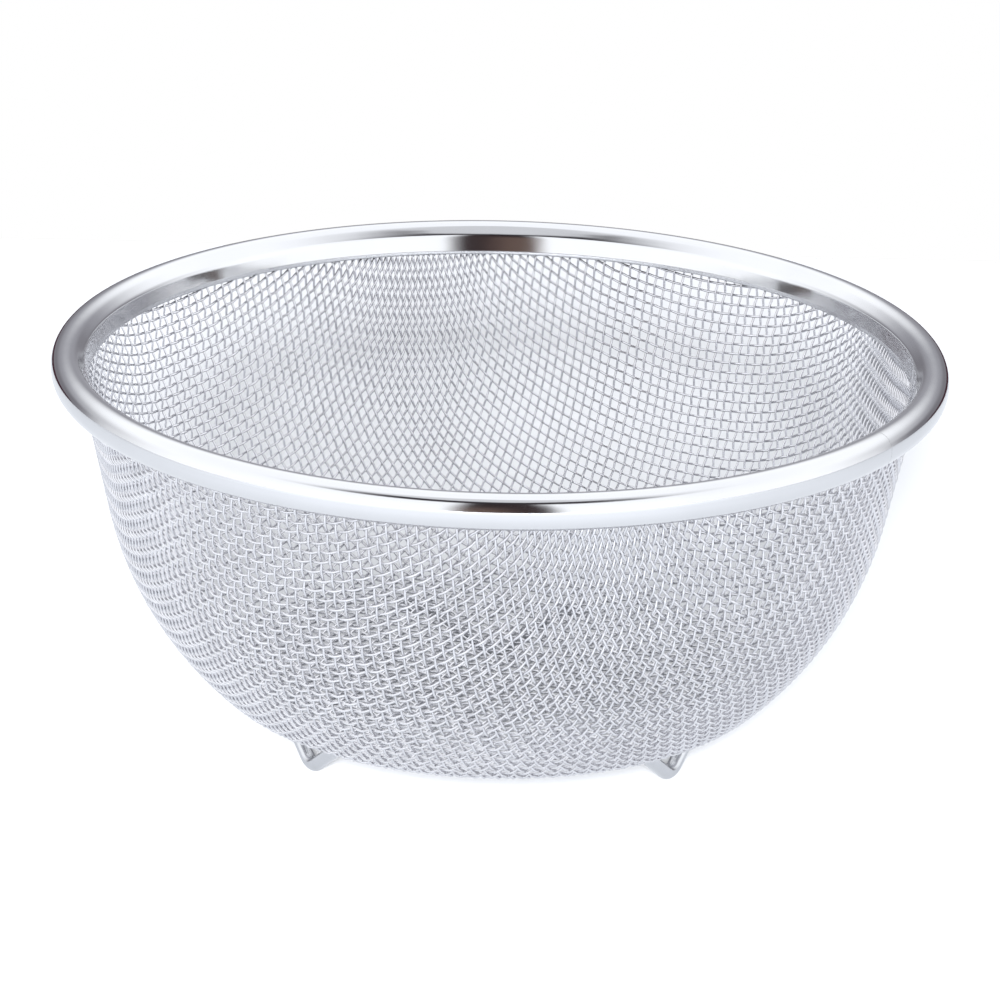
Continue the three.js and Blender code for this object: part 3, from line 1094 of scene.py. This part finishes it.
def studio_world(stage):
    """White walls at the sides, a darker back, and an open side to a dark room in front."""
    world = bpy.data.worlds.new("studio")
    bpy.context.scene.world = world
    world.use_nodes = True
    tree = world.node_tree
    background = tree.nodes["Background"]
    way = node(tree, "ShaderNodeTexCoord").outputs["Generated"]
    east, north, up = node(tree, "ShaderNodeSeparateXYZ", {"Vector": way}).outputs

    def both(first, second):
        return maths(tree, "MULTIPLY", first, second)

    flat_length = maths(tree, "SQRT", maths(tree, "ADD", both(east, east), both(north, north)))

    def towards(azimuth, outer, inner):
        """1 within an angle of an azimuth, easing to 0 at a wider angle."""
        sideways = both(east, math.cos(math.radians(azimuth)))
        ahead = both(north, math.sin(math.radians(azimuth)))
        share = maths(tree, "DIVIDE", maths(tree, "ADD", sideways, ahead), flat_length)
        return remap(tree, share, math.cos(math.radians(outer)), math.cos(math.radians(inner)))

    def heights(whole, gone):
        """1 at an elevation and beyond it, easing to 0 at another."""
        return remap(tree, up, math.sin(math.radians(gone)), math.sin(math.radians(whole)))

    def paint(under, share, colour):
        return blend_colours(tree, share, under, opaque(colour))

    light = paint(opaque(TENT_WALL_COLOUR), heights(*TENT_TOP_FADE), TENT_TOP_COLOUR)
    # Grey back wall behind the table, darker to both sides, and the dark gap under it
    light = paint(light, both(towards(*BACK_SPAN), heights(*BACK_FADE)), BACK_COLOUR)
    beside = maths(tree, "MAXIMUM", *(towards(*span) for span in BESIDE_SPANS))
    light = paint(light, both(beside, heights(*BESIDE_FADE)), BESIDE_COLOUR)
    light = paint(light, both(heights(*GAP_FADE), towards(*GAP_SPAN)), GAP_COLOUR)
    # Open side, under a dark edge that runs round above it and a duller ceiling
    light = paint(light, both(towards(*CEILING_SPAN), heights(*CEILING_FADE)), CEILING_COLOUR)
    room = blend_colours(
        tree, heights(*ROOM_GLOW_FADE), opaque(ROOM_TOP_COLOUR), opaque(stage.room_colour)
    )
    room = paint(room, towards(*ROOM_SIDE_SPAN), ROOM_SIDE_COLOUR)
    opening = both(towards(*ROOM_SPAN), heights(*ROOM_FADE))
    light = blend_colours(tree, opening, light, room)
    edge = both(both(heights(*EDGE_TOP_FADE), heights(*EDGE_BOTTOM_FADE)), towards(*EDGE_SPAN))
    light = paint(light, edge, EDGE_COLOUR)
    seen = camera_ray(tree)
    tree.links.new(paint(light, seen, WHITE), background.inputs["Color"])
    strength = maths(
        tree, "SUBTRACT", STUDIO_STRENGTH, both(seen, STUDIO_STRENGTH - SEEN_STRENGTH)
    )
    tree.links.new(strength, background.inputs["Strength"])


def studio_floor(stage):
    """A pale floor, bright to the camera and a little shaded under the colander."""
    side, far = stage.floor_size, stage.floor_depth
    corners = [(-side, -side, 0), (side, -side, 0), (side, far, 0), (-side, far, 0)]
    floor = mesh_object("floor", corners, [np.array([[0, 1, 2, 3]])], (False,))
    material = bpy.data.materials.new("pale_floor")
    material.use_nodes = True
    tree = material.node_tree
    shader = tree.nodes["Principled BSDF"]
    seen = camera_ray(tree)
    tree.links.new(
        blend_colours(tree, seen, opaque(stage.floor_colour), opaque(stage.seen_floor_colour)),
        shader.inputs["Base Color"],
    )
    shader.inputs["Roughness"].default_value = FLOOR_ROUGHNESS
    shader.inputs["Specular IOR Level"].default_value = FLOOR_SPECULAR
    bright = node(tree, "ShaderNodeEmission", {"Color": opaque(WHITE), "Strength": 1.0})
    share = maths(tree, "MULTIPLY", seen, FLOOR_GLOW)
    mix = node(tree, "ShaderNodeMixShader", {0: share, 1: shader.outputs[0], 2: bright.outputs[0]})
    tree.links.new(mix.outputs[0], tree.nodes["Material Output"].inputs["Surface"])
    floor.data.materials.append(material)


class COLANDER_OT_stage(bpy.types.Operator):
    """Set up the camera, the floor and the light"""

    bl_idname = "colander.stage"
    bl_label = "Set Up Studio"

    def execute(self, context):
        stage = context.scene.colander_stage
        forward = Vector((0.0, math.cos(stage.elevation), -math.sin(stage.elevation)))
        right = Vector((1.0, 0.0, 0.0))
        upward = right.cross(forward)
        cosine, sine = math.cos(stage.roll), math.sin(stage.roll)
        across = cosine * right + sine * upward
        up = cosine * upward - sine * right
        camera = bpy.data.objects.new("camera", bpy.data.cameras.new("camera"))
        context.scene.collection.objects.link(camera)
        camera.data.lens = stage.lens
        camera.data.clip_end = CAMERA_REACH
        turned = Matrix((across, up, -forward)).transposed().to_4x4()
        place = Vector(stage.target) - forward * stage.distance
        camera.matrix_world = Matrix.Translation(place) @ turned
        context.scene.camera = camera
        context.scene.view_settings.view_transform = "Standard"
        studio_world(stage)
        studio_floor(stage)
        lamp = bpy.data.lights.new("soft_lamp", "AREA")
        lamp.energy = stage.lamp_power
        lamp.size = LAMP_SIZE
        holder = bpy.data.objects.new("soft_lamp", lamp)
        context.scene.collection.objects.link(holder)
        holder.location = LAMP_PLACE
        aim = Vector(LAMP_AIM) - holder.location
        holder.rotation_euler = aim.to_track_quat("-Z", "Y").to_euler()
        holder.visible_camera = False
        holder.visible_glossy = False
        return {"FINISHED"}


class COLANDER_PT_panel(bpy.types.Panel):
    """Sizes, finishes and steps of the colander"""

    bl_label = "Colander"
    bl_idname = "COLANDER_PT_panel"
    bl_space_type = "VIEW_3D"
    bl_region_type = "UI"
    bl_category = "Colander"

    def draw(self, context):
        for name, (settings, operator) in GROUPS.items():
            box = self.layout.box()
            for setting in settings.__annotations__:
                box.prop(getattr(context.scene, name), setting)
            box.operator(operator.bl_idname)


# Each group of settings, by its name in the scene, and the operator that uses it
GROUPS = {
    "colander_rim": (RimSettings, COLANDER_OT_rim),
    "colander_cloth": (ClothSettings, COLANDER_OT_cloth),
    "colander_foot": (FootSettings, COLANDER_OT_feet),
    "colander_stage": (StageSettings, COLANDER_OT_stage),
}
CLASSES = (*(made for group in GROUPS.values() for made in group), COLANDER_PT_panel)


def register():
    for made in CLASSES:
        bpy.utils.register_class(made)
    for name, (settings, _) in GROUPS.items():
        setattr(bpy.types.Scene, name, PointerProperty(type=settings))


def unregister():
    for name in GROUPS:
        delattr(bpy.types.Scene, name)
    for made in reversed(CLASSES):
        bpy.utils.unregister_class(made)


def main():
    register()
    bpy.ops.colander.stage()
    bpy.ops.colander.rim()
    bpy.ops.colander.cloth()
    bpy.ops.colander.feet()


if __name__ == "__main__":
    main()
